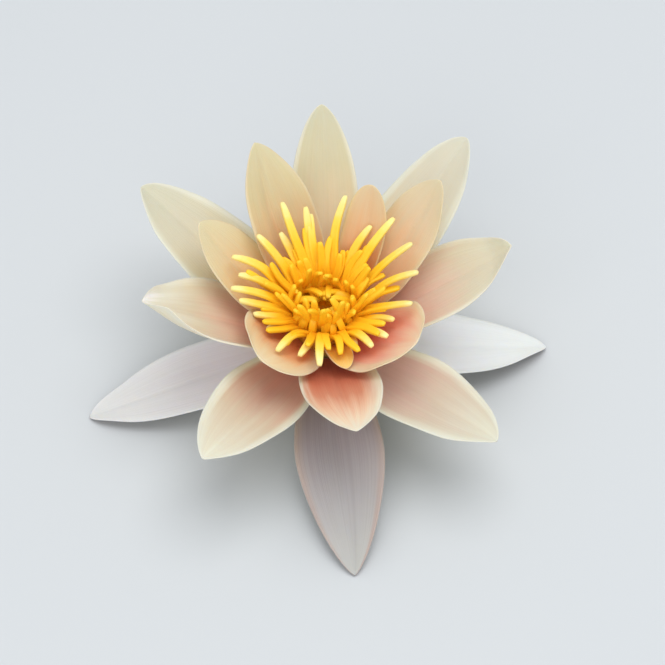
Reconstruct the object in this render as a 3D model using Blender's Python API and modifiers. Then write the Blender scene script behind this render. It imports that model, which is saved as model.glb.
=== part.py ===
"""A water lily blossom, cream flushed with peach, cut from its stalk just below the bloom.

Units are metres, with +Z up. The origin is the middle of the stalk's cut face. The
blossom stands on that face and on the tips of its four sepals. +X is its right, and -Y
its front, towards which the open bloom leans.

Sepals and petals sit in whorls round the receptacle. Each is a sheet bent by the same
formula: it leaves the receptacle at one rise and ends at another, is cupped across, and
keeps its whorl's outline. The stamens stand in rings inside them, round the pistil.
"""

import math
import random
from collections import namedtuple

import bmesh
import bpy
from mathutils import Matrix, Vector

MM = 0.001  # every length below is written in millimetres

# Stalk and receptacle
STALK_RADIUS = 4.0
STALK_TOP = 9.0  # where the stalk starts to swell into the receptacle
RECEPTACLE_TOP = 22.2
SEAT_GAP = 0.6  # from the receptacle to the middle of a petal's root
TURNED_STEPS = 32

# Sepals and petals: what each whorl shares
Whorl = namedtuple("Whorl", "radius height root widest taper cup_root cup_tip")
WHORLS = {
    "sepal": Whorl(7.5, 14.3, 9.0, 0.47, 1.5, 40, 22),
    "outer": Whorl(9.2, 16.2, 10.0, 0.46, 1.8, 42, 26),
    "second": Whorl(9.3, 18.1, 9.0, 0.48, 1.9, 50, 26),
    "third": Whorl(9.0, 19.8, 8.0, 0.50, 2.1, 56, 26),
    "fourth": Whorl(8.6, 20.9, 7.0, 0.50, 2.1, 58, 26),
    "inner": Whorl(8.2, 21.8, 5.0, 0.55, 2.3, 60, 30),
}
# Each one's azimuth, its rise over the horizontal at root and tip, its length and
# width, how far its tip sways to the left, its twist, and how pointed its tip is
Blade = namedtuple("Blade", "name whorl azimuth rise_root rise_tip length width sway twist "
                   "point")
BLADES = [
    Blade("sepal_right", "sepal", 1, -10, -17, 57.0, 25.0, 7.0, -14, 0.74),
    Blade("sepal_back", "sepal", 98, -9, -17, 61.0, 24.0, 0.0, 4, 0.74),
    Blade("sepal_left", "sepal", 194, -12, -14, 61.0, 23.0, 0.0, 0, 0.70),
    Blade("sepal_front", "sepal", 277, -4, -21, 63.0, 24.5, 0.0, 9, 0.74),
    Blade("petal_outer_back_right", "outer", 50, 26, 30, 60.5, 23.5, 0.5, 0, 0.62),
    Blade("petal_outer_back_left", "outer", 148, 27, 29, 57.0, 26.5, 0.0, 6, 0.64),
    Blade("petal_outer_front_left", "outer", 239, 18, 13, 53.0, 24.0, -0.5, -6, 0.66),
    Blade("petal_outer_front_right", "outer", 316, 14, 9, 55.0, 24.0, 0.5, 0, 0.66),
    Blade("petal_second_right", "second", 9, 30, 38, 51.5, 25.5, -2.0, 0, 0.70),
    Blade("petal_second_back", "second", 89, 36, 44, 56.0, 19.5, 1.5, 2, 0.64),
    Blade("petal_second_left", "second", 192, 32, 35, 48.5, 27.0, 0.5, 3, 0.76),
    Blade("petal_second_front", "second", 279, 35, 25, 49.5, 22.0, 0.5, 2, 0.58),
    Blade("petal_third_back_right", "third", 35, 40, 58, 46.5, 20.0, 1.0, -1, 0.64),
    Blade("petal_third_left", "third", 160, 40, 54, 40.0, 20.0, -1.0, 0, 0.68),
    Blade("petal_fourth_front_left", "fourth", 226, 42, 40, 28.5, 26.5, 6.0, -9, 0.52),
    Blade("petal_third_front_right", "third", 324, 41, 42, 31.0, 28.5, -2.5, 6, 0.52),
    Blade("petal_fourth_back", "fourth", 117, 48, 52, 48.0, 20.5, 1.0, 16, 0.72),
    Blade("petal_inner_back", "inner", 55, 47, 64, 35.5, 13.0, 3.5, 11, 0.50),
    Blade("petal_inner_front", "inner", 285, 54, 13, 19.5, 7.0, 0.0, 0, 0.55),
]
BLADE_THICKNESS = 0.9
BLADE_ROWS = 10  # along a blade
BLADE_COLUMNS = 6  # across it

# Stamens: the section of the ring that carries them, as (radius, height), then the
# outermost ones as azimuth and length
STAMEN_RING = [(5.6, 24.6), (7.7, 24.6), (7.7, 22.5), (5.6, 22.5)]
STAMEN_ROOT = 23.4  # how high the stamens start, inside the ring
STAMEN_THICKNESS = 1.1
STAMEN_ROWS = 5
STAMEN_SWAY = 1.5  # how far to a side a tip may lie
OUTER_STAMENS = [
    (6, 27), (24, 29), (41, 31), (57, 25), (79, 31), (98, 26), (104, 28), (115, 31),
    (124, 23), (143, 26), (161, 28), (173, 24), (183, 26), (193, 23), (203, 18),
    (217, 15), (239, 21), (254, 18), (268, 25), (304, 13), (308, 20), (320, 22),
    (333, 19), (345, 25),
]
# A ring: how many, on what radius, their rise, how much more of it they have behind and
# in front, their length, bend, how much more they bend in front, their width at the
# root, and the part of it lost by the tip
Ring = namedtuple("Ring", "count radius rise behind front length bend arch width taper")
OUTER_RING = Ring(len(OUTER_STAMENS), 7.1, 44, 9, -9, 31.0, 50, 25, 3.6, 0.45)
INNER_RINGS = [
    Ring(26, 6.9, 60, 9, 20, 17.0, 30, 0, 3.0, 0.35),
    Ring(20, 6.7, 84, 14, 8, 14.0, -60, 0, 2.5, 0.2),
    Ring(19, 6.4, 112, 14, -16, 13.3, -142, 0, 2.3, 0.2),
    Ring(24, 7.2, 47, 11, -5, 18.5, 50, 20, 3.0, 0.35),
]

# Pistil: a shallow dish of stigma with incurved fingers round its rim
STIGMA_RADIUS = 5.2
STIGMA_BOTTOM = 22.5
STIGMA_RIM = 25.4
STIGMA_DIP = 24.0
FINGERS = Ring(15, 4.1, 97, 0, 0, 5.7, -62, 0, 2.1, 0.25)


def material(name, colour, roughness):
    """A Principled material in one plain colour."""
    made = bpy.data.materials.new(name)
    made.use_nodes = True
    shader = made.node_tree.nodes["Principled BSDF"]
    shader.inputs["Base Color"].default_value = (*colour, 1.0)
    shader.inputs["Roughness"].default_value = roughness
    shader.inputs["Metallic"].default_value = 0.0
    return made


def add_object(name, mesh, collection, finish):
    """Link a mesh to the scene as a smooth-shaded object."""
    mesh.materials.append(finish)
    mesh.shade_smooth()
    made = bpy.data.objects.new(name, mesh)
    collection.objects.link(made)
    return made


def turned(name, profile, closed, collection, finish):
    """A solid of revolution about Z, from (radius, height) points run top to bottom.

    A closed profile makes a ring; an open one starts and ends on the axis.
    """
    mesh = bpy.data.meshes.new(name)
    points = [(radius * MM, 0.0, height * MM) for radius, height in profile]
    edges = [(i, i + 1) for i in range(len(points) - 1)]
    if closed:
        edges.append((len(points) - 1, 0))
    mesh.from_pydata(points, edges, [])
    made = add_object(name, mesh, collection, finish)
    screw = made.modifiers.new("Turn", "SCREW")
    screw.steps = TURNED_STEPS
    screw.render_steps = TURNED_STEPS
    screw.use_merge_vertices = True
    screw.merge_threshold = 0.00001
    return made


def sheet(name, place, rows, columns, thickness, collection, finish):
    """A grid bent by place(along, across), with along 0..1 and across -1..1, made thick."""
    grid = bmesh.new()
    bmesh.ops.create_grid(grid, x_segments=rows, y_segments=columns, size=1.0)
    for vertex in grid.verts:
        vertex.co = place((vertex.co.x + 1.0) / 2.0, vertex.co.y) * MM
    bmesh.ops.remove_doubles(grid, verts=grid.verts, dist=0.00001)
    bmesh.ops.triangulate(grid, faces=grid.faces, quad_method="FIXED")
    mesh = bpy.data.meshes.new(name)
    grid.to_mesh(mesh)
    grid.free()
    made = add_object(name, mesh, collection, finish)
    solidify = made.modifiers.new("Thickness", "SOLIDIFY")
    solidify.thickness = thickness * MM
    solidify.offset = 0.0
    return made


def arc(rise_root, rise_tip, length, along):
    """How far out and up a midrib has come whose rise changes evenly, at a part of its length."""
    turn = math.radians(rise_tip - rise_root)
    start = math.radians(rise_root)
    if abs(turn) < 0.001:
        return length * along * math.cos(start), length * along * math.sin(start)
    end = start + turn * along
    out = (math.sin(end) - math.sin(start)) * length / turn
    up = (math.cos(start) - math.cos(end)) * length / turn
    return out, up


def outline(whorl, width, point, along):
    """Half the width of a blade at a part of its length."""
    if along < whorl.widest:
        swell = math.sin(math.pi / 2 * along / whorl.widest)
        return (whorl.root + (width - whorl.root) * swell) / 2
    past = (along - whorl.widest) / (1 - whorl.widest)
    return width / 2 * max(1 - past ** whorl.taper, 0.0) ** point


def blade_place(blade):
    """The function that bends a flat grid into this sepal or petal."""
    whorl = WHORLS[blade.whorl]
    turn = Matrix.Rotation(math.radians(blade.azimuth), 3, "Z")

    def place(step, across):
        along = 1 - (1 - step) ** 1.5  # rows lie closer towards the tip
        out, up = arc(blade.rise_root, blade.rise_tip, blade.length, along)
        rise = math.radians(blade.rise_root + (blade.rise_tip - blade.rise_root) * along)
        cup = whorl.cup_root + (whorl.cup_tip - whorl.cup_root) * along
        cup = math.radians(cup * (1 - 0.98 * (1 - along) ** 8))
        bend_radius = outline(whorl, blade.width, blade.point, along) / (cup / 2)
        side = bend_radius * math.sin(across * cup / 2)
        lift = bend_radius * (1 - math.cos(across * cup / 2))
        twist = math.radians(blade.twist * along)
        side, lift = (side * math.cos(twist) - lift * math.sin(twist),
                      side * math.sin(twist) + lift * math.cos(twist))
        # near its root the blade wraps round the receptacle
        chord = math.sqrt(max(whorl.radius ** 2 - side ** 2, 0.0))
        wrap = (whorl.radius - chord) * (1 - along) ** 6
        return turn @ Vector((whorl.radius + out - lift * math.sin(rise) - wrap,
                              side + blade.sway * along ** 2,
                              whorl.height + up + lift * math.cos(rise)))

    return place


def stamen_place(ring, azimuth, rise, length, bend, twist, sway):
    """The function that bends a flat grid into a stamen, narrower towards its tip."""
    turn = Matrix.Rotation(math.radians(azimuth), 3, "Z")

    def place(along, across):
        out, up = arc(rise + bend / 2, rise - bend / 2, length, along)
        slope = math.radians(rise + bend / 2 - bend * along)
        half = across * ring.width / 2 * (1 - ring.taper * along)
        roll = math.radians(twist * along)
        side, lift = half * math.cos(roll), half * math.sin(roll)
        return turn @ Vector((ring.radius + out - lift * math.sin(slope),
                              side + sway * along ** 2,
                              STAMEN_ROOT + up + lift * math.cos(slope)))

    return place


def fill_pockets(mesh):
    """Fill the sealed pockets among fused repeats: only the outer shell stays."""
    shape = bmesh.new()
    shape.from_mesh(mesh)
    unseen = set(shape.verts)
    shells = []
    while unseen:
        shell = [unseen.pop()]
        for vertex in shell:
            for edge in vertex.link_edges:
                neighbour = edge.other_vert(vertex)
                if neighbour in unseen:
                    unseen.remove(neighbour)
                    shell.append(neighbour)
        shells.append(shell)
    for pocket in sorted(shells, key=len)[:-1]:
        bmesh.ops.delete(shape, geom=pocket, context="VERTS")
    shape.to_mesh(mesh)
    shape.free()
    return mesh


def fuse(core, repeats):
    """Join a collection of repeats to their core as one solid, and remove them."""
    union = core.modifiers.new("Fuse", "BOOLEAN")
    union.operation = "UNION"
    union.operand_type = "COLLECTION"
    union.collection = repeats
    union.solver = "MANIFOLD"
    graph = bpy.context.evaluated_depsgraph_get()
    mesh = bpy.data.meshes.new_from_object(core.evaluated_get(graph))
    core.modifiers.clear()
    core.data = fill_pockets(mesh)
    for repeat in list(repeats.objects):
        bpy.data.objects.remove(repeat)
    bpy.data.collections.remove(repeats)


def make_receptacle(collection):
    """Stalk stub and receptacle: one turned solid, stepped where each whorl is seated."""
    finish = material("stalk_green", (0.30, 0.33, 0.14), 0.5)
    seats = [(whorl.radius - SEAT_GAP, whorl.height) for whorl in WHORLS.values()]
    profile = [(0.0, RECEPTACLE_TOP), (seats[-1][0] - 0.2, RECEPTACLE_TOP)]
    profile += seats[::-1]
    profile += [(5.2, 11.8), (STALK_RADIUS, STALK_TOP), (STALK_RADIUS, 0.0), (0.0, 0.0)]
    turned("receptacle_and_stalk", profile, False, collection, finish)


def make_blades(collection):
    """The four sepals and the petals, whorl by whorl."""
    finishes = {
        "sepal": material("sepal_white", (0.78, 0.75, 0.78), 0.5),
        "outer": material("petal_cream", (0.82, 0.74, 0.62), 0.5),
        "second": material("petal_cream_flushed", (0.82, 0.68, 0.54), 0.5),
        "third": material("petal_peach", (0.82, 0.58, 0.44), 0.5),
    }
    finishes["fourth"] = finishes["third"]
    finishes["inner"] = finishes["third"]
    for blade in BLADES:
        sheet(blade.name, blade_place(blade), BLADE_ROWS, BLADE_COLUMNS, BLADE_THICKNESS,
              collection, finishes[blade.whorl])


def make_stamens(collection):
    """All the stamens, fused to the ring that they grow from."""
    finish = material("stamen_gold", (0.87, 0.50, 0.02), 0.5)
    core = turned("stamens", STAMEN_RING, True, collection, finish)
    repeats = bpy.data.collections.new("stamen_repeats")
    bpy.context.scene.collection.children.link(repeats)
    draw = random.Random(4)

    def add(ring, azimuth, rise, length):
        facing = math.sin(math.radians(azimuth))
        rise += ring.behind * max(facing, 0) + ring.front * max(-facing, 0)
        bend = ring.bend + ring.arch * max(-facing, 0) + draw.uniform(-10, 10)
        place = stamen_place(ring, azimuth, rise, length, bend,
                             draw.uniform(-25, 25), draw.uniform(-STAMEN_SWAY, STAMEN_SWAY))
        sheet("stamen", place, STAMEN_ROWS, 1, STAMEN_THICKNESS, repeats, finish)

    for azimuth, length in OUTER_STAMENS:
        add(OUTER_RING, azimuth, OUTER_RING.rise, length)
    for ring in INNER_RINGS:
        for i in range(ring.count):
            add(ring, 360 * (i + draw.uniform(-0.25, 0.25)) / ring.count,
                ring.rise + draw.uniform(-4, 4), ring.length * draw.uniform(0.85, 1.2))
    fuse(core, repeats)


def make_pistil(collection):
    """The stigma's dish with its ring of incurved fingers."""
    finish = material("stigma_orange", (0.80, 0.36, 0.01), 0.5)
    core = turned("pistil", [
        (0.0, STIGMA_DIP), (STIGMA_RADIUS * 0.55, STIGMA_DIP + 0.3),
        (STIGMA_RADIUS * 0.85, STIGMA_RIM), (STIGMA_RADIUS, STIGMA_RIM),
        (STIGMA_RADIUS, STIGMA_BOTTOM), (0.0, STIGMA_BOTTOM)], False, collection, finish)
    repeats = bpy.data.collections.new("finger_repeats")
    bpy.context.scene.collection.children.link(repeats)
    for i in range(FINGERS.count):
        place = stamen_place(FINGERS, 360 * i / FINGERS.count, FINGERS.rise,
                             FINGERS.length, FINGERS.bend, 0, 0)
        sheet("finger", place, STAMEN_ROWS, 1, STAMEN_THICKNESS, repeats, finish)
    fuse(core, repeats)


def main():
    for old in list(bpy.data.objects):
        bpy.data.objects.remove(old)
    blossom = bpy.data.collections.new("water_lily_blossom")
    bpy.context.scene.collection.children.link(blossom)
    make_receptacle(blossom)
    make_blades(blossom)
    make_stamens(blossom)
    make_pistil(blossom)


main()
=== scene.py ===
"""A water lily blossom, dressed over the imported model.

The file goes through the flower as it grows: the stalk's end with the receptacle, the
sepals, the petals whorl by whorl, the stamens and the pistil, and last the place where it
stands. Lengths are in millimetres where they are multiplied by MM, and metres elsewhere.
"""

import math
import random
from collections import namedtuple

import bmesh
import bpy
from mathutils import Matrix, Vector


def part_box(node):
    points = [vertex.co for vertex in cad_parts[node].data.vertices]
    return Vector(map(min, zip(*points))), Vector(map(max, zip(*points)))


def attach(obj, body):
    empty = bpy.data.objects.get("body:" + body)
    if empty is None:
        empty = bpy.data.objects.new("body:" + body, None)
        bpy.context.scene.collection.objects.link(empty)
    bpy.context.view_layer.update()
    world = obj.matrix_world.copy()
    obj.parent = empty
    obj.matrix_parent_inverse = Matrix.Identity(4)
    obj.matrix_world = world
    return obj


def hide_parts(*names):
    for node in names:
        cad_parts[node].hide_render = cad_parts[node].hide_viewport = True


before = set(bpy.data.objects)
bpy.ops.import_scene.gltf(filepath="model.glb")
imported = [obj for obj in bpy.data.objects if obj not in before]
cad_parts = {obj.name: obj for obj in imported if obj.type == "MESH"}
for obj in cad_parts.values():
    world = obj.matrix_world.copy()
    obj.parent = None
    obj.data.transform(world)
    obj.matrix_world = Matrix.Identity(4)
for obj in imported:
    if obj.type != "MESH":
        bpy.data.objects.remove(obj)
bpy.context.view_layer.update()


# ---------------------------------------------------------------------------------------
# Receptacle and stalk. The fleshy end of the stalk swells into the receptacle, on which
# the whorls are seated one above the other. It is one solid piece of green tissue, cut off
# square below, and its cut face shows the air canals that run up the stalk.

MM = 0.001
RECEPTACLE_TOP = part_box("receptacle_and_stalk")[1].z / MM
STALK_PROFILE = [  # radius and height of each point, from the cut face up
    (0.0, 0.0), (3.7, 0.0), (3.93, 0.12), (4.0, 0.4), (4.0, 4.0), (3.95, 7.0), (4.05, 9.0),
    (4.45, 10.4), (5.2, 11.8), (6.3, 13.3), (6.9, 14.3), (7.8, 15.3), (8.55, 16.2),
    (8.75, 17.1), (8.65, 18.1), (8.5, 19.0), (8.35, 19.8), (8.0, 20.9), (7.6, 21.8),
    (7.2, RECEPTACLE_TOP), (0.0, RECEPTACLE_TOP),
]
STALK_SIDES = 64
# The rows of air canals: the row's radius, how many it has, the radius of the drill for
# them, and the azimuth of the first one
CANAL_ROWS = [(0.0, 1, 0.35, 0.0), (1.55, 4, 0.72, 45.0), (2.95, 12, 0.24, 12.0),
              (2.35, 4, 0.26, 0.0)]
CANAL_DEPTH = 2.5
CANAL_SIDES = 16
DRILL_TAPER = 0.8  # its radius at its inner end, as a part of that at its outer one


def srgb(red, green, blue):
    """A colour given in 0..255, as the shader wants it."""
    linear = [((c / 255 + 0.055) / 1.055) ** 2.4 for c in (red, green, blue)]
    return (*linear, 1.0)


def start_material(name):
    """A new material, as itself, its node tree and its Principled shader."""
    made = bpy.data.materials.new(name)
    made.use_nodes = True
    return made, made.node_tree, made.node_tree.nodes["Principled BSDF"]


def wire(tree, kind, inputs, **settings):
    """Add a node, and feed its inputs from plain values or from other nodes' sockets."""
    made = tree.nodes.new(kind)
    for key, value in settings.items():
        setattr(made, key, value)
    for key, value in inputs.items():
        if isinstance(value, bpy.types.NodeSocket):
            tree.links.new(value, made.inputs[key])
        else:
            made.inputs[key].default_value = value
    return made


def mix(tree, factor, low, high, blend_type="MIX"):
    """Mix two colours, each a value or a socket, as the resulting socket."""
    made = wire(tree, "ShaderNodeMix", {0: factor, 6: low, 7: high},
                data_type="RGBA", blend_type=blend_type)
    return made.outputs[2]


def reshape(tree, value, from_low, from_high, to_low, to_high):
    """Map a range onto another with eased ends, as a socket."""
    made = wire(tree, "ShaderNodeMapRange", {
        "Value": value, "From Min": from_low, "From Max": from_high,
        "To Min": to_low, "To Max": to_high}, interpolation_type="SMOOTHSTEP")
    return made.outputs["Result"]


def add_bump(tree, shader, height, strength, distance):
    """Raise the shader's surface by a height socket."""
    bump = wire(tree, "ShaderNodeBump",
                {"Height": height, "Strength": strength, "Distance": distance})
    tree.links.new(bump.outputs["Normal"], shader.inputs["Normal"])


def add_piece(name, mesh, materials, node):
    """Link a finished mesh to the scene, in place of its CAD node."""
    for finish in materials:
        mesh.materials.append(finish)
    mesh.shade_smooth()
    piece = bpy.data.objects.new(name, mesh)
    bpy.context.scene.collection.objects.link(piece)
    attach(piece, "root")
    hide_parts(node)
    return piece


def turn_profile(shape, profile, steps):
    """Spin (radius, height) points about Z into a bmesh, run bottom to top."""
    ring = [shape.verts.new((radius * MM, 0.0, height * MM)) for radius, height in profile]
    edges = [shape.edges.new(pair) for pair in zip(ring, ring[1:])]
    bmesh.ops.spin(shape, geom=ring + edges, axis=(0, 0, 1), cent=(0, 0, 0),
                   angle=math.tau, steps=steps, use_merge=True)
    bmesh.ops.remove_doubles(shape, verts=shape.verts, dist=0.000001)
    bmesh.ops.recalc_face_normals(shape, faces=shape.faces)


def stalk_skin():
    """Olive green skin with reddish streaks up the stalk, golden among the petals."""
    made, tree, shader = start_material("stalk_skin")
    place = wire(tree, "ShaderNodeTexCoord", {}).outputs["Object"]
    long_way = wire(tree, "ShaderNodeMapping", {"Vector": place, "Scale": (900, 900, 60)})
    streaks = wire(tree, "ShaderNodeTexNoise",
                   {"Vector": long_way.outputs[0], "Scale": 1.0, "Detail": 4.0})
    height = wire(tree, "ShaderNodeSeparateXYZ", {"Vector": place}).outputs["Z"]
    upper = reshape(tree, height, 0.004, 0.016, 0.0, 1.0)
    green = mix(tree, upper, srgb(112, 104, 62), srgb(146, 152, 92))
    red = mix(tree, upper, srgb(104, 70, 52), srgb(150, 132, 92))
    redness = reshape(tree, streaks.outputs["Fac"], 0.42, 0.66, 0.0, 1.0)
    among_petals = reshape(tree, height, 0.017, 0.021, 0.0, 1.0)
    skin_colour = mix(tree, redness, green, red)
    skin_colour = mix(tree, among_petals, skin_colour, srgb(240, 172, 60))
    tree.links.new(skin_colour, shader.inputs["Base Color"])
    pores = wire(tree, "ShaderNodeTexNoise", {"Vector": place, "Scale": 2600.0, "Detail": 2.0})
    skin = wire(tree, "ShaderNodeMath",
                {0: streaks.outputs["Fac"], 1: pores.outputs["Fac"]}, operation="ADD")
    add_bump(tree, shader, skin.outputs[0], 0.5, 0.0002)
    shader.inputs["Roughness"].default_value = 0.42
    shader.inputs["Subsurface Weight"].default_value = 0.12
    shader.inputs["Subsurface Scale"].default_value = 0.002
    return made


def cut_flesh():
    """The pale wet flesh of the cut face, with painted shade that darkens the canals' walls the
    deeper they go.
    """
    made, tree, shader = start_material("cut_flesh")
    place = wire(tree, "ShaderNodeTexCoord", {}).outputs["Object"]
    cells = wire(tree, "ShaderNodeTexVoronoi", {"Vector": place, "Scale": 1900.0},
                 feature="DISTANCE_TO_EDGE")
    height = wire(tree, "ShaderNodeSeparateXYZ", {"Vector": place}).outputs["Z"]
    # painted shade: the flesh turns dark brown the higher it lies, up the walls inside the
    # canals
    depth = reshape(tree, height, 0.0, 0.0018, 0.0, 1.0)
    wall = reshape(tree, cells.outputs["Distance"], 0.0, 0.12, 0.0, 1.0)
    flesh = mix(tree, wall, srgb(168, 160, 108), srgb(206, 202, 158))
    tree.links.new(mix(tree, depth, flesh, srgb(52, 46, 24)), shader.inputs["Base Color"])
    add_bump(tree, shader, cells.outputs["Distance"], 0.6, 0.0001)
    shader.inputs["Roughness"].default_value = 0.28
    shader.inputs["Subsurface Weight"].default_value = 0.2
    shader.inputs["Subsurface Scale"].default_value = 0.002
    return made


def bore_canals(stalk):
    """Sink the air canals into the cut face."""
    drill = bmesh.new()
    for radius, count, bore, start in CANAL_ROWS:
        for i in range(count):
            angle = math.radians(start) + math.tau * i / count
            centre = Matrix.Translation(
                (radius * MM * math.cos(angle), radius * MM * math.sin(angle), 0.0))
            bmesh.ops.create_cone(drill, cap_ends=True, segments=CANAL_SIDES,
                                  radius1=bore * MM,
                                  radius2=bore * DRILL_TAPER * MM,
                                  depth=2 * CANAL_DEPTH * MM, matrix=centre)
    drill_mesh = bpy.data.meshes.new("canal_drill")
    drill.to_mesh(drill_mesh)
    drill.free()
    # the canals' walls take the second finish, that of the cut face
    drill_mesh.materials.append(None)
    drill_mesh.materials.append(stalk.data.materials[1])
    for face in drill_mesh.polygons:
        face.material_index = 1
    cutter = bpy.data.objects.new("canal_drill", drill_mesh)
    bpy.context.scene.collection.objects.link(cutter)
    boring = stalk.modifiers.new("Canals", "BOOLEAN")
    boring.operation = "DIFFERENCE"
    boring.solver = "EXACT"
    boring.object = cutter
    graph = bpy.context.evaluated_depsgraph_get()
    bored = bpy.data.meshes.new_from_object(stalk.evaluated_get(graph))
    stalk.modifiers.clear()
    stalk.data = bored
    bpy.data.objects.remove(cutter)


stalk_shape = bmesh.new()
turn_profile(stalk_shape, STALK_PROFILE, STALK_SIDES)
for face in stalk_shape.faces:
    at_cut = face.calc_center_median().z < 0.01 * MM
    face.material_index = 1 if at_cut else 0
stalk_mesh = bpy.data.meshes.new("stalk_and_receptacle_skin")
stalk_shape.to_mesh(stalk_mesh)
stalk_shape.free()
stalk = add_piece("stalk_and_receptacle_skin", stalk_mesh, [stalk_skin(), cut_flesh()],
                  "receptacle_and_stalk")
bore_canals(stalk)


# ---------------------------------------------------------------------------------------
# Sepals. Four of them are the bud's outer scales: leathery, white above, and olive below
# with a bronze pink margin. Each grows from the receptacle's shoulder, and in the open
# flower it hangs down until its tip lies on the water.

# What a whorl shares: how far out and how far below the receptacle's top it is seated, its
# width at the root, where it is widest, the outline's taper, and how far it is cupped
# across at the root and at the tip
Whorl = namedtuple("Whorl", "radius below root widest taper cup_root cup_tip")
# One sepal or petal: its azimuth, its rise at root and tip, its length and width, how far
# its tip sways to its left, its twist, and how pointed its tip is
Blade = namedtuple("Blade", "name azimuth rise_root rise_tip length width sway twist point")
# The fine shape of one: the depth of its midrib groove, the height of its margin's waves
# on the left and the right, how many and where they start, how far each margin curls up,
# how far the tip is pinched and hooked, and the place and depth of a crease
Trim = namedtuple("Trim", "groove wave_left wave_right waves start curl_left curl_right "
                  "pinch hook crease_at crease",
                  defaults=(0.30, 0.35, 0.35, 2.3, 0.0, 0.0, 0.0, 0.0, 0.0, 0.3, 0.0))
# How far out the pale margin starts on each side, as a part of the half width
Rim = namedtuple("Rim", "left right")

SEPAL = Whorl(7.5, 7.9, 9.0, 0.47, 1.5, 40, 22)
SEPAL_THICKNESS = 0.8
BLADE_ROWS = 72
BLADE_COLUMNS = 32
ROW_CROWDING = 1.5  # rows lie closer towards the tip
MARGIN_THINNING = 0.75  # how much of its thickness a blade loses at its margins
TIP_THINNING = 0.5  # and towards its tip
GROOVE_WIDTH = 1.1  # of the groove over the midrib, to each side
CREASE_WIDTH = 0.12  # as a part of the half width
MARGIN_LEAD = 2.1  # in radians, how far the left margin's waves run ahead of the right's
ROOT_FLATNESS = 0.98  # how much of its cup a blade loses at its very root


def arc(rise_root, rise_tip, length, along):
    """How far out and up a midrib has come whose rise changes evenly."""
    turn = math.radians(rise_tip - rise_root)
    start = math.radians(rise_root)
    if abs(turn) < 0.001:
        return length * along * math.cos(start), length * along * math.sin(start)
    end = start + turn * along
    out = (math.sin(end) - math.sin(start)) * length / turn
    up = (math.cos(start) - math.cos(end)) * length / turn
    return out, up


def outline(whorl, width, point, along):
    """Half the width of a sepal or petal at a part of its length."""
    if along < whorl.widest:
        swell = math.sin(math.pi / 2 * along / whorl.widest)
        return (whorl.root + (width - whorl.root) * swell) / 2
    past = (along - whorl.widest) / (1 - whorl.widest)
    return width / 2 * max(1 - past ** whorl.taper, 0.0) ** point


def ease(value, low, high):
    """0 below low, 1 above high, and a smooth step between them."""
    part = min(max((value - low) / (high - low), 0.0), 1.0)
    return part * part * (3 - 2 * part)


def fine_lift(trim, half, along, across):
    """How far the fine shape lifts a point off the plain bent sheet."""
    side = across * half
    free = ease(along, 0.12, 0.4)  # the root stays plain
    groove = math.exp(-(side / GROOVE_WIDTH) ** 2) * free * (1 - ease(along, 0.8, 1.0))
    lift = -trim.groove * groove
    wave = trim.wave_left if across > 0 else trim.wave_right
    lead = MARGIN_LEAD if across > 0 else 0
    swing = math.sin(math.tau * (trim.waves * along + trim.start) + lead)
    lift += wave * swing * abs(across) ** 3 * free * (1 - ease(along, 0.85, 1.0))
    curl = trim.curl_left if across > 0 else trim.curl_right
    lift += curl * ease(abs(across), 0.45, 1.0) ** 1.5 * free * (1 - ease(along, 0.9, 1.0))
    lift += trim.pinch * abs(across) ** 1.5 * ease(along, 0.78, 0.93) * min(half / 3, 1.0)
    lift += trim.hook * ease(along, 0.84, 1.06)
    crease = math.exp(-((across - trim.crease_at) / CREASE_WIDTH) ** 2) * free
    lift -= trim.crease * crease * (1 - ease(along, 0.6, 0.95))
    return lift


def row_place(step):
    """How far along its blade a row lies, for a grid whose rows go evenly from 0 to 1."""
    return 1 - (1 - step) ** ROW_CROWDING


def blade_place(whorl, blade, trim):
    """The function that bends a flat grid into this sepal or petal."""
    turn = Matrix.Rotation(math.radians(blade.azimuth), 3, "Z")
    seat = RECEPTACLE_TOP - whorl.below

    def place(step, across):
        along = row_place(step)
        out, up = arc(blade.rise_root, blade.rise_tip, blade.length, along)
        rise = math.radians(blade.rise_root + (blade.rise_tip - blade.rise_root) * along)
        cup = whorl.cup_root + (whorl.cup_tip - whorl.cup_root) * along
        cup = math.radians(cup * (1 - ROOT_FLATNESS * (1 - along) ** 8))
        half = outline(whorl, blade.width, blade.point, along)
        bend_radius = half / (cup / 2)
        side = bend_radius * math.sin(across * cup / 2)
        lift = bend_radius * (1 - math.cos(across * cup / 2))
        lift += fine_lift(trim, half, along, across)
        twist = math.radians(blade.twist * along)
        side, lift = (side * math.cos(twist) - lift * math.sin(twist),
                      side * math.sin(twist) + lift * math.cos(twist))
        # near its root the blade wraps round the receptacle
        chord = math.sqrt(max(whorl.radius ** 2 - side ** 2, 0.0))
        wrap = (whorl.radius - chord) * (1 - along) ** 6
        return turn @ Vector((whorl.radius + out - lift * math.sin(rise) - wrap,
                              side + blade.sway * along ** 2,
                              seat + up + lift * math.cos(rise)))

    return place


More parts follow.
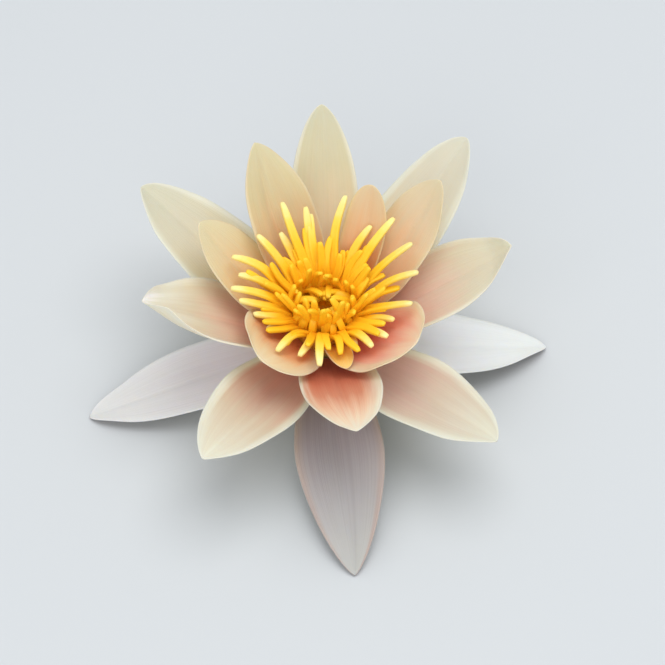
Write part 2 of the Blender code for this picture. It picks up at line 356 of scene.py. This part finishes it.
def make_blade(whorl, blade, trim, thickness, materials):
    """Build one sepal or petal: full in the middle, and thin at its margins."""
    place = blade_place(whorl, blade, trim)
    sheet = bmesh.new()
    bmesh.ops.create_grid(sheet, x_segments=BLADE_ROWS, y_segments=BLADE_COLUMNS, size=1.0)
    uv = sheet.loops.layers.uv.new("petal")
    weights = sheet.verts.layers.deform.new()
    for face in sheet.faces:
        for loop in face.loops:
            step, across = (loop.vert.co.x + 1) / 2, loop.vert.co.y
            loop[uv].uv = (row_place(step), (across + 1) / 2)
    for vertex in sheet.verts:
        step, across = (vertex.co.x + 1) / 2, vertex.co.y
        at_margin = 1 - MARGIN_THINNING * abs(across) ** 2.5
        at_tip = 1 - TIP_THINNING * step ** 3
        vertex[weights][0] = at_margin * at_tip
        vertex.co = place(step, across) * MM
    bmesh.ops.remove_doubles(sheet, verts=sheet.verts, dist=0.00001)
    mesh = bpy.data.meshes.new(blade.name + "_skin")
    sheet.to_mesh(mesh)
    sheet.free()
    piece = add_piece(blade.name + "_skin", mesh, materials, blade.name)
    piece.vertex_groups.new(name="fullness")
    thicken = piece.modifiers.new("Thickness", "SOLIDIFY")
    thicken.thickness = thickness * MM
    thicken.offset = 0.0
    thicken.vertex_group = "fullness"
    thicken.thickness_vertex_group = 0.1
    thicken.material_offset = 1
    thicken.material_offset_rim = 0


def ramp(tree, factor, stops):
    """A colour ramp over (position, colour) stops, as its colour socket."""
    made = wire(tree, "ShaderNodeValToRGB", {"Fac": factor})
    elements = made.color_ramp.elements
    elements[0].position, elements[0].color = stops[0]
    elements[1].position, elements[1].color = stops[-1]
    for position, colour in stops[1:-1]:
        elements.new(position).color = colour
    return made.outputs["Color"]


def blade_skin(name, stops, margin, seed, streak=0.08, vein=0.07, rim=Rim(0.72, 0.72),
               roughness=0.42, translucency=0.4):
    """Skin of a sepal or petal: colours from root to tip, with its veins and its margin."""
    made, tree, shader = start_material(name)
    flat = wire(tree, "ShaderNodeUVMap", {}, uv_map="petal").outputs["UV"]
    parts = wire(tree, "ShaderNodeSeparateXYZ", {"Vector": flat})
    along, across = parts.outputs["X"], parts.outputs["Y"]

    def lengthwise(long_scale, cross_scale, detail):
        """Noise drawn out along the blade, with a place of its own for each seed."""
        stretched = wire(tree, "ShaderNodeMapping", {
            "Vector": flat, "Location": (seed * 3.7, seed * 1.3, seed * 2.1),
            "Scale": (long_scale, cross_scale, 1.0)})
        return wire(tree, "ShaderNodeTexNoise", {
            "Vector": stretched.outputs[0], "Scale": 1.0, "Detail": detail}).outputs["Fac"]

    broad = lengthwise(1.6, 9.0, 3.0)
    veins = lengthwise(0.9, 85.0, 2.0)
    # the flush reaches further out along some streaks than along others
    shift = wire(tree, "ShaderNodeMath", {0: broad, 1: -0.5}, operation="ADD").outputs[0]
    reach = wire(tree, "ShaderNodeMath", {0: shift, 1: streak * 4, 2: along},
                 operation="MULTIPLY_ADD").outputs[0]
    body = ramp(tree, reach, stops)
    # towards the margins the blade pales
    centred = wire(tree, "ShaderNodeMath", {0: across, 1: 2.0, 2: -1.0},
                   operation="MULTIPLY_ADD").outputs[0]
    from_rib = wire(tree, "ShaderNodeMath", {0: centred}, operation="ABSOLUTE").outputs[0]
    frayed = wire(tree, "ShaderNodeMath", {0: shift, 1: 0.35, 2: from_rib},
                  operation="MULTIPLY_ADD").outputs[0]
    at_left = reshape(tree, frayed, rim.left, 1.0, 0.0, 1.0)
    at_right = reshape(tree, frayed, rim.right, 1.0, 0.0, 1.0)
    left_side = reshape(tree, across, 0.4, 0.6, 0.0, 1.0)
    at_edge = wire(tree, "ShaderNodeMix", {0: left_side, 2: at_right, 3: at_left})
    body = mix(tree, at_edge.outputs[0], body, margin)
    # veins are a little deeper in colour than the flesh between them
    vein_mask = reshape(tree, veins, 0.44, 0.62, 0.0, vein)
    body = mix(tree, vein_mask, body, mix(tree, 1.0, body, body, "MULTIPLY"))
    tree.links.new(body, shader.inputs["Base Color"])
    place = wire(tree, "ShaderNodeTexCoord", {}).outputs["Object"]
    cells = wire(tree, "ShaderNodeTexNoise", {"Vector": place, "Scale": 3200.0, "Detail": 2.0})
    relief = wire(tree, "ShaderNodeMath",
                  {0: cells.outputs["Fac"], 1: 0.25, 2: veins},
                  operation="MULTIPLY_ADD").outputs[0]
    add_bump(tree, shader, relief, 0.35, 0.0002)
    gloss = wire(tree, "ShaderNodeMapRange", {
        "Value": broad, "To Min": roughness - 0.06, "To Max": roughness + 0.10})
    tree.links.new(gloss.outputs["Result"], shader.inputs["Roughness"])
    shader.inputs["Subsurface Weight"].default_value = translucency
    shader.inputs["Subsurface Radius"].default_value = (1.0, 0.75, 0.5)
    shader.inputs["Subsurface Scale"].default_value = 0.0022
    shader.inputs["Specular IOR Level"].default_value = 0.35
    shader.inputs["Sheen Weight"].default_value = 0.12
    shader.inputs["Sheen Roughness"].default_value = 0.4
    return made


SEPALS = [
    # The right sepal is painted lightest at its root: painted light against the shade that the
    # petals above cast on it.
    (Blade("sepal_right", 1, -10, -17, 57.0, 25.0, 7.0, -14, 0.74),
     Trim(start=0.1, pinch=0.6),
     [(0.0, srgb(254, 245, 248)), (0.35, srgb(249, 246, 249)), (0.7, srgb(240, 240, 236)),
      (1.0, srgb(232, 233, 226))], srgb(232, 232, 226)),
    (Blade("sepal_back", 98, -9, -17, 61.0, 24.0, 0.0, 4, 0.74),
     Trim(start=0.4, pinch=0.6),
     [(0.0, srgb(214, 202, 190)), (0.35, srgb(228, 224, 222)), (0.7, srgb(228, 227, 222)),
      (1.0, srgb(226, 226, 215))], srgb(234, 233, 226)),
    (Blade("sepal_left", 194, -12, -14, 61.0, 23.0, 0.0, 0, 0.70),
     Trim(start=0.7, pinch=0.6),
     [(0.0, srgb(231, 215, 219)), (0.35, srgb(230, 219, 223)), (0.65, srgb(224, 219, 217)),
      (1.0, srgb(222, 220, 214))], srgb(230, 226, 222)),
    # The front sepal's face is painted darker and greyer than the other sepals', darkest at its
    # root: painted shade, for the shade it lies in below the flower.
    (Blade("sepal_front", 277, -4, -21, 63.0, 24.5, 0.0, 9, 0.74),
     Trim(start=0.2, pinch=0.4),
     [(0.0, srgb(146, 127, 125)), (0.35, srgb(164, 153, 156)), (0.7, srgb(177, 173, 172)),
      (1.0, srgb(188, 188, 182))], srgb(178, 160, 154)),
]
sepal_under = blade_skin(
    "sepal_under", [(0.0, srgb(150, 146, 96)), (0.35, srgb(122, 122, 74)),
                    (0.75, srgb(116, 104, 74)), (1.0, srgb(132, 98, 84))],
    srgb(158, 112, 100), 5, streak=0.14, vein=0.35, roughness=0.38, translucency=0.15)
for seed, (blade, trim, stops, margin) in enumerate(SEPALS, start=1):
    above = blade_skin(blade.name + "_face", stops, margin, seed, streak=0.05, vein=0.12)
    make_blade(SEPAL, blade, trim, SEPAL_THICKNESS, [above, sepal_under])


# ---------------------------------------------------------------------------------------
# Outer petals. The four largest petals lie low between the sepals: waxy, cream towards
# their tips, dusty peach at the root, with pale crisp rims. Each is one thin sheet of soft
# tissue that grows from the receptacle above the sepals.

OUTER = Whorl(9.2, 6.0, 10.0, 0.46, 1.8, 42, 26)
PETAL_THICKNESS = 0.8
OUTER_PETALS = [
    (Blade("petal_outer_back_right", 50, 26, 30, 60.5, 23.5, 0.5, 0, 0.62),
     Trim(start=0.0, pinch=0.8),
     [(0.0, srgb(228, 184, 140)), (0.35, srgb(226, 206, 172)), (0.7, srgb(214, 206, 185)),
      (1.0, srgb(212, 208, 190))]),
    (Blade("petal_outer_back_left", 148, 27, 29, 57.0, 26.5, 0.0, 6, 0.64),
     Trim(start=0.5, pinch=0.8),
     [(0.0, srgb(232, 200, 148)), (0.35, srgb(226, 210, 174)), (0.7, srgb(209, 202, 179)),
      (1.0, srgb(206, 204, 183))]),
    # This petal's root is its peach flush, painted lighter than the colour just above it:
    # painted light against the shade of the petals over it.
    (Blade("petal_outer_front_left", 239, 18, 13, 53.0, 24.0, -0.5, -6, 0.66),
     Trim(start=0.3, pinch=0.6),
     [(0.0, srgb(226, 156, 139)), (0.35, srgb(206, 160, 141)), (0.62, srgb(207, 189, 164)),
      (1.0, srgb(226, 222, 202))]),
    # This petal's root is its peach flush, painted lighter than the colour just above it:
    # painted light against the shade of the petals over it.
    (Blade("petal_outer_front_right", 316, 14, 9, 55.0, 24.0, 0.5, 0, 0.66),
     Trim(start=0.8, pinch=0.6),
     [(0.0, srgb(218, 178, 168)), (0.35, srgb(208, 174, 161)), (0.62, srgb(205, 188, 168)),
      (1.0, srgb(218, 215, 196))]),
]
OUTER_MARGIN = srgb(227, 223, 203)
outer_under = blade_skin(
    "outer_under", [(0.0, srgb(196, 180, 120)), (0.3, srgb(222, 212, 172)),
                    (0.7, srgb(232, 226, 204)), (1.0, srgb(234, 230, 208))],
    srgb(238, 234, 216), 9, streak=0.10, vein=0.25)
for seed, (blade, trim, stops) in enumerate(OUTER_PETALS, start=11):
    above = blade_skin(blade.name + "_face", stops, OUTER_MARGIN, seed)
    make_blade(OUTER, blade, trim, PETAL_THICKNESS, [above, outer_under])


# ---------------------------------------------------------------------------------------
# Petals of the second whorl. Four petals stand above the gaps of the outer ones, cream
# flushed with peach towards the root, which is deep orange in the front one. The right one
# ends in a small hook, and the left one's lower margin is rolled up.

SECOND = Whorl(9.3, 4.1, 9.0, 0.48, 1.9, 50, 26)
SECOND_PETALS = [
    (Blade("petal_second_right", 9, 30, 38, 51.5, 25.5, -2.0, 0, 0.70),
     Trim(start=0.2, pinch=1.0, hook=2.4), Rim(0.78, 0.78),
     [(0.0, srgb(226, 158, 138)), (0.35, srgb(222, 180, 163)), (0.7, srgb(213, 202, 177)),
      (1.0, srgb(220, 216, 192))]),
    (Blade("petal_second_back", 89, 36, 44, 56.0, 19.5, 1.5, 2, 0.64),
     Trim(start=0.6, pinch=0.6), Rim(0.78, 0.78),
     [(0.0, srgb(226, 178, 130)), (0.4, srgb(220, 198, 164)), (0.7, srgb(207, 197, 163)),
      (1.0, srgb(206, 202, 176))]),
    # The left petal's tip is painted whiter: a painted highlight on its pinched tip. Its root
    # is its peach flush, painted lighter against the shade over it.
    (Blade("petal_second_left", 192, 32, 35, 48.5, 27.0, 0.5, 3, 0.76),
     Trim(start=0.9, pinch=1.2, hook=0.8, curl_left=3.0), Rim(0.55, 0.80),
     [(0.0, srgb(240, 172, 152)), (0.35, srgb(220, 176, 153)), (0.65, srgb(214, 199, 171)),
      (0.9, srgb(226, 220, 200)), (1.0, srgb(244, 238, 230))]),
    (Blade("petal_second_front", 279, 35, 25, 49.5, 22.0, 0.5, 2, 0.58),
     Trim(start=0.4, pinch=0.4), Rim(0.50, 0.80),
     [(0.0, srgb(188, 88, 60)), (0.4, srgb(200, 114, 83)), (0.58, srgb(207, 137, 106)),
      (0.75, srgb(228, 182, 152)), (0.88, srgb(236, 208, 180)), (1.0, srgb(234, 220, 198))]),
]
SECOND_MARGIN = srgb(228, 219, 196)
second_under = blade_skin(
    "second_under", [(0.0, srgb(214, 190, 134)), (0.3, srgb(226, 210, 170)),
                     (0.7, srgb(230, 220, 194)), (1.0, srgb(232, 226, 204))],
    srgb(238, 232, 212), 21, vein=0.25)
for seed, (blade, trim, rim, stops) in enumerate(SECOND_PETALS, start=23):
    above = blade_skin(blade.name + "_face", stops, SECOND_MARGIN, seed, rim=rim)
    make_blade(SECOND, blade, trim, PETAL_THICKNESS, [above, second_under])


# ---------------------------------------------------------------------------------------
# Petals of the third and fourth whorls. Five strongly cupped petals stand close round the
# stamens, peach to apricot, with a golden root behind and a coral one in front. The back
# one is creased along its length, and the two in front are short broad scoops.

THIRD = Whorl(9.0, 2.4, 8.0, 0.50, 2.1, 56, 26)
FOURTH = Whorl(8.6, 1.3, 7.0, 0.50, 2.1, 58, 26)
INSIDE_PETALS = [
    (THIRD, Blade("petal_third_back_right", 35, 40, 58, 46.5, 20.0, 1.0, -1, 0.64),
     Trim(start=0.1), Rim(0.84, 0.84),
     [(0.0, srgb(246, 176, 116)), (0.35, srgb(238, 192, 148)), (0.7, srgb(226, 202, 168)),
      (1.0, srgb(222, 207, 175))]),
    (THIRD, Blade("petal_third_left", 160, 40, 54, 40.0, 20.0, -1.0, 0, 0.68),
     Trim(start=0.5, wave_left=0.2, wave_right=0.2), Rim(0.84, 0.84),
     [(0.0, srgb(242, 170, 84)), (0.35, srgb(238, 192, 134)), (0.7, srgb(228, 207, 165)),
      (1.0, srgb(226, 214, 178))]),
    (THIRD, Blade("petal_third_front_right", 324, 41, 42, 31.0, 28.5, -2.5, 6, 0.52),
     Trim(start=0.3), Rim(0.62, 0.55),
     [(0.0, srgb(222, 84, 66)), (0.35, srgb(231, 134, 110)), (0.66, srgb(233, 166, 141)),
      (0.85, srgb(236, 193, 163)), (1.0, srgb(236, 206, 178))]),
    (FOURTH, Blade("petal_fourth_back", 117, 48, 52, 48.0, 20.5, 1.0, 16, 0.72),
     Trim(start=0.7, crease_at=0.25, crease=0.7), Rim(0.84, 0.84),
     [(0.0, srgb(228, 168, 104)), (0.35, srgb(219, 180, 136)), (0.7, srgb(212, 195, 153)),
      (1.0, srgb(218, 208, 172))]),
    (FOURTH, Blade("petal_fourth_front_left", 226, 42, 40, 28.5, 26.5, 6.0, -9, 0.52),
     Trim(start=0.9, wave_left=0.1, wave_right=0.15, curl_right=0.6), Rim(0.50, 0.70),
     [(0.0, srgb(226, 128, 70)), (0.3, srgb(228, 146, 90)), (0.5, srgb(231, 170, 118)),
      (0.68, srgb(233, 198, 152)), (0.85, srgb(235, 213, 173)), (1.0, srgb(238, 222, 190))]),
]
INSIDE_MARGIN = srgb(226, 204, 167)
inside_under = blade_skin(
    "inside_under", [(0.0, srgb(224, 188, 118)), (0.3, srgb(230, 200, 156)),
                     (0.7, srgb(234, 214, 182)), (1.0, srgb(236, 222, 194))],
    srgb(240, 228, 202), 31, vein=0.22)
for seed, (whorl, blade, trim, rim, stops) in enumerate(INSIDE_PETALS, start=37):
    above = blade_skin(blade.name + "_face", stops, INSIDE_MARGIN, seed, rim=rim)
    make_blade(whorl, blade, trim, PETAL_THICKNESS, [above, inside_under])


# ---------------------------------------------------------------------------------------
# Innermost petals. Two narrow ones, of thin peach tissue with a golden root, are on the way
# to becoming stamens. They grow from the top of the receptacle, just outside the stamens.

INNER = Whorl(8.2, 0.4, 5.0, 0.55, 2.3, 60, 30)
INNER_THICKNESS = 0.7
INNER_MARGIN = srgb(232, 202, 154)
INNER_PETALS = [
    (Blade("petal_inner_back", 55, 47, 64, 35.5, 13.0, 3.5, 11, 0.50),
     Trim(groove=0.2, wave_left=0.2, wave_right=0.2),
     [(0.0, srgb(240, 156, 84)), (0.35, srgb(235, 172, 120)), (0.7, srgb(229, 190, 147)),
      (1.0, srgb(226, 200, 164))]),
    (Blade("petal_inner_front", 285, 54, 13, 19.5, 7.0, 0.0, 0, 0.55),
     Trim(groove=0.1, wave_left=0.0, wave_right=0.0),
     [(0.0, srgb(238, 150, 30)), (0.35, srgb(250, 174, 48)), (0.7, srgb(252, 190, 78)),
      (1.0, srgb(251, 208, 128))]),
]
for seed, (blade, trim, stops) in enumerate(INNER_PETALS, start=47):
    above = blade_skin(blade.name + "_face", stops, INNER_MARGIN, seed, rim=Rim(0.86, 0.86))
    make_blade(INNER, blade, trim, INNER_THICKNESS, [above, inside_under])


# ---------------------------------------------------------------------------------------
# Stamens. More than a hundred soft fingers in rings, golden, and pale yellow at the blunt
# tip. The outer ones spread and bend outwards, the inner ones arch over the pistil, and
# they all grow from the top of the receptacle, where their roots run together.

STAMEN_ROOT = RECEPTACLE_TOP + 1.2
STAMEN_THICKNESS = 1.15
# How far chance may take a stamen off its ring's values, in millimetres and degrees
SWAY_CHANCE = 1.5
BEND_CHANCE = 10
TWIST_CHANCE = 25
RISE_CHANCE = 4
PLACE_CHANCE = 0.25  # of the step from one stamen to the next
SHORTEST = 0.85  # as a part of the ring's length
LONGEST = 1.2
CRINKLE = 0.7  # how far a stamen wanders off its even bend
CRINKLES = 1.1  # how often it does so over its length
INNER_PALING = 0.6  # the inner ones don't pale so far towards the tip
STAMEN_ROWS = 12
STAMEN_COLUMNS = 4
ANTHER_CHANNEL = 0.18  # how deeply its face is channelled, as a part of its width
OUTER_STAMENS = [  # azimuth and length of each
    (6, 27), (24, 29), (41, 31), (57, 25), (79, 31), (98, 26), (104, 28), (115, 31),
    (124, 23), (143, 26), (161, 28), (173, 24), (183, 26), (193, 23), (203, 18),
    (217, 15), (239, 21), (254, 18), (268, 25), (304, 13), (308, 20), (320, 22),
    (333, 19), (345, 25),
]
# A ring: how many, on what radius, their rise, how much more of it they have behind and
# in front, their length, bend, how much more they bend in front, their width at the
# root, and the part of it lost by the tip. The outer ones have lengths of their own, and
# their ring has the longest.
Ring = namedtuple("Ring", "count radius rise behind front length bend arch width taper")
OUTER_RING = Ring(len(OUTER_STAMENS), 7.1, 44, 9, -9, 31.0, 50, 25, 3.6, 0.45)
INNER_RINGS = [Ring(26, 6.9, 60, 9, 20, 17.0, 30, 0, 3.0, 0.35),
               Ring(20, 6.7, 84, 14, 8, 14.0, -60, 0, 2.5, 0.2),
               Ring(19, 6.4, 112, 14, -16, 13.3, -142, 0, 2.3, 0.2),
               Ring(24, 7.2, 47, 11, -5, 18.5, 50, 20, 3.0, 0.35)]


def grow_finger(shape, ring, azimuth, rise, length, bend, twist, sway, paling, wander):
    """Add one stamen-like finger to a bmesh, as a narrow sheet with a rounded tip."""
    wander_side, wander_up = wander
    turn = Matrix.Rotation(math.radians(azimuth), 3, "Z")
    uv = shape.loops.layers.uv.verify()
    grid = bmesh.ops.create_grid(shape, x_segments=STAMEN_ROWS, y_segments=STAMEN_COLUMNS,
                                 size=1.0)
    verts = grid["verts"]
    for face in {face for vertex in verts for face in vertex.link_faces}:
        for loop in face.loops:
            loop[uv].uv = ((loop.vert.co.x + 1) / 2 * paling, (loop.vert.co.y + 1) / 2)
    for vertex in verts:
        along, across = (vertex.co.x + 1) / 2, vertex.co.y
        out, up = arc(rise + bend / 2, rise - bend / 2, length, along)
        slope = math.radians(rise + bend / 2 - bend * along)
        blunt = math.sqrt(1 - ease(along, 0.86, 1.06) ** 2)
        half = across * ring.width / 2 * (1 - ring.taper * along) * blunt
        roll = math.radians(twist * along)
        side, lift = half * math.cos(roll), half * math.sin(roll)
        lift += ANTHER_CHANNEL * abs(across) * ring.width * (1 - along)
        swing = math.sin(math.tau * CRINKLES * along) * ease(along, 0.1, 0.5)
        side += wander_side * swing
        lift += wander_up * swing
        vertex.co = turn @ Vector((ring.radius + out - lift * math.sin(slope),
                                   side + sway * along ** 2,
                                   STAMEN_ROOT + up + lift * math.cos(slope))) * MM


def finger_skin(name, stops, patch_scale):
    """Golden skin that pales from root to tip, finely grained with pollen."""
    made, tree, shader = start_material(name)
    flat = wire(tree, "ShaderNodeUVMap", {}, uv_map="finger").outputs["UV"]
    along = wire(tree, "ShaderNodeSeparateXYZ", {"Vector": flat}).outputs["X"]
    place = wire(tree, "ShaderNodeTexCoord", {}).outputs["Object"]
    patches = wire(tree, "ShaderNodeTexNoise",
                   {"Vector": place, "Scale": patch_scale, "Detail": 2.0})
    shift = wire(tree, "ShaderNodeMath", {0: patches.outputs["Fac"], 1: -0.5},
                 operation="ADD").outputs[0]
    reach = wire(tree, "ShaderNodeMath", {0: shift, 1: 0.25, 2: along},
                 operation="MULTIPLY_ADD").outputs[0]
    tree.links.new(ramp(tree, reach, stops), shader.inputs["Base Color"])
    grains = wire(tree, "ShaderNodeTexNoise", {"Vector": place, "Scale": 4200.0, "Detail": 2.0})
    add_bump(tree, shader, grains.outputs["Fac"], 0.5, 0.0001)
    shader.inputs["Roughness"].default_value = 0.5
    shader.inputs["Subsurface Weight"].default_value = 0.1
    shader.inputs["Subsurface Radius"].default_value = (1.0, 0.6, 0.2)
    shader.inputs["Subsurface Scale"].default_value = 0.0008
    shader.inputs["Specular IOR Level"].default_value = 0.35
    return made


def finish_fingers(name, shape, finish, node):
    """Round the fingers, and put them in place of their CAD node."""
    mesh = bpy.data.meshes.new(name)
    shape.to_mesh(mesh)
    shape.free()
    mesh.uv_layers[0].name = "finger"
    piece = add_piece(name, mesh, [finish], node)
    thicken = piece.modifiers.new("Thickness", "SOLIDIFY")
    thicken.thickness = STAMEN_THICKNESS * MM
    thicken.offset = 0.0
    rounding = piece.modifiers.new("Rounding", "SUBSURF")
    rounding.levels = 1
    rounding.render_levels = 1


stamen_shape = bmesh.new()
stamen_shape.loops.layers.uv.new("finger")
draw = random.Random(4)
crinkle = random.Random(7)


def grow_stamen(ring, azimuth, rise, length):
    """Add one stamen of a ring, turned and swayed a little by chance."""
    facing = math.sin(math.radians(azimuth))
    rise += ring.behind * max(facing, 0) + ring.front * max(-facing, 0)
    bend = ring.bend + ring.arch * max(-facing, 0) + draw.uniform(-BEND_CHANCE, BEND_CHANCE)
    paling = 1.0 if ring is OUTER_RING else INNER_PALING
    wander = (crinkle.uniform(-CRINKLE, CRINKLE), crinkle.uniform(-CRINKLE, CRINKLE))
    twist = draw.uniform(-TWIST_CHANCE, TWIST_CHANCE)
    sway = draw.uniform(-SWAY_CHANCE, SWAY_CHANCE)
    grow_finger(stamen_shape, ring, azimuth, rise, length, bend, twist, sway, paling, wander)


for azimuth, length in OUTER_STAMENS:
    grow_stamen(OUTER_RING, azimuth, OUTER_RING.rise, length)
for ring in INNER_RINGS:
    for i in range(ring.count):
        azimuth = 360 * (i + draw.uniform(-PLACE_CHANCE, PLACE_CHANCE)) / ring.count
        rise = ring.rise + draw.uniform(-RISE_CHANCE, RISE_CHANCE)
        grow_stamen(ring, azimuth, rise, ring.length * draw.uniform(SHORTEST, LONGEST))
# The stamens' root stop is paler than the gold above it: painted light, to lift the shade deep
# among their roots.
stamen_gold = finger_skin("stamen_gold_skin", [
    (0.0, srgb(255, 198, 52)), (0.3, srgb(255, 196, 30)), (0.6, srgb(255, 205, 40)),
    (0.8, srgb(254, 219, 88)), (1.0, srgb(255, 238, 160))], 260.0)
finish_fingers("stamens_skin", stamen_shape, stamen_gold, "stamens")


# ---------------------------------------------------------------------------------------
# Pistil. A shallow dish of golden orange stigma tissue, rayed from its middle, with a ring
# of incurved fingers on its rim. It sits inside the rings of stamens.

PISTIL_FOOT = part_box("pistil")[0].z / MM
STIGMA_PROFILE = [(radius, PISTIL_FOOT + height) for radius, height in [
    (0.0, 0.0), (5.2, 0.0), (5.2, 2.7), (5.05, 2.9), (4.5, 2.9), (3.9, 2.55), (2.9, 1.8),
    (1.6, 1.55), (0.9, 1.6), (0.5, 2.0), (0.0, 2.1)]]
STIGMA_SIDES = 60
RAY_HEIGHT = 0.12  # of the rays on the dish, one to each finger
RAY_START = 0.8  # how far from the middle they start
RAY_END = 4.6
FINGERS = Ring(15, 4.1, 97, 0, 0, 5.7, -62, 0, 2.1, 0.25)

dish_shape = bmesh.new()
turn_profile(dish_shape, STIGMA_PROFILE, STIGMA_SIDES)
for vertex in dish_shape.verts:
    reach = math.hypot(vertex.co.x, vertex.co.y) / MM
    on_top = vertex.co.z > (PISTIL_FOOT + 0.5) * MM
    if on_top and RAY_START < reach < RAY_END:
        ray = math.cos(FINGERS.count * math.atan2(vertex.co.y, vertex.co.x))
        vertex.co.z += RAY_HEIGHT * MM * ray
dish_mesh = bpy.data.meshes.new("stigma_dish")
dish_shape.to_mesh(dish_mesh)
dish_shape.free()
dish_mesh.uv_layers.new(name="finger")
stigma_orange = finger_skin("stigma_orange_skin", [
    (0.0, srgb(255, 196, 48)), (0.4, srgb(255, 194, 40)), (0.75, srgb(255, 198, 42)),
    (1.0, srgb(255, 210, 70))], 290.0)
add_piece("stigma_dish", dish_mesh, [stigma_orange], "pistil")
finger_shape = bmesh.new()
finger_shape.loops.layers.uv.new("finger")
for i in range(FINGERS.count):
    grow_finger(finger_shape, FINGERS, 360 * i / FINGERS.count, FINGERS.rise,
                FINGERS.length, FINGERS.bend, 0, 0, 1.0, (0, 0))
finish_fingers("stigma_fingers", finger_shape, stigma_orange, "pistil")


# ---------------------------------------------------------------------------------------
# The stage: a plain pale floor that the blossom stands on, soft studio light, and the
# camera, which looks down on the front of the open flower.

FLOOR_SIDE = 3.0
SKY_STRENGTH = 0.69
CAMERA_ELEVATION = math.radians(52)
CAMERA_DISTANCE = 0.75
CAMERA_LENS = 147.6
AIM = Vector((0.0024, -0.0015, 0.020))  # near the middle of the flower

bpy.ops.mesh.primitive_plane_add(size=FLOOR_SIDE)
floor = bpy.context.object
floor.name = "floor"
floor_finish, _, floor_shader = start_material("floor_pale")
floor_shader.inputs["Base Color"].default_value = srgb(206, 209, 210)
floor_shader.inputs["Roughness"].default_value = 0.85
floor.data.materials.append(floor_finish)

# The lamps: where each stands, how wide it is, and its power
for name, place, size, power in [
    ("key", (0.15, 0.05, 1.0), 0.9, 5.7),
    ("fill", (-0.3, -0.8, 0.6), 0.9, 2.5),
]:
    lamp = bpy.data.lights.new(name, "AREA")
    lamp.shape = "DISK"
    lamp.size = size
    lamp.energy = power
    light = bpy.data.objects.new(name, lamp)
    bpy.context.scene.collection.objects.link(light)
    light.location = place
    light.rotation_euler = (-Vector(place)).to_track_quat("-Z", "Y").to_euler()

world = bpy.data.worlds.new("soft_sky")
world.use_nodes = True
sky = world.node_tree.nodes["Background"]
sky.inputs["Color"].default_value = srgb(240, 244, 250)
sky.inputs["Strength"].default_value = SKY_STRENGTH
bpy.context.scene.world = world
bpy.context.scene.view_settings.view_transform = "Standard"

camera_data = bpy.data.cameras.new("camera")
camera_data.lens = CAMERA_LENS
camera = bpy.data.objects.new("camera", camera_data)
bpy.context.scene.collection.objects.link(camera)
camera.location = AIM + CAMERA_DISTANCE * Vector(
    (0.0, -math.cos(CAMERA_ELEVATION), math.sin(CAMERA_ELEVATION)))
camera.rotation_euler = (math.pi / 2 - CAMERA_ELEVATION, 0.0, 0.0)
bpy.context.scene.camera = camera
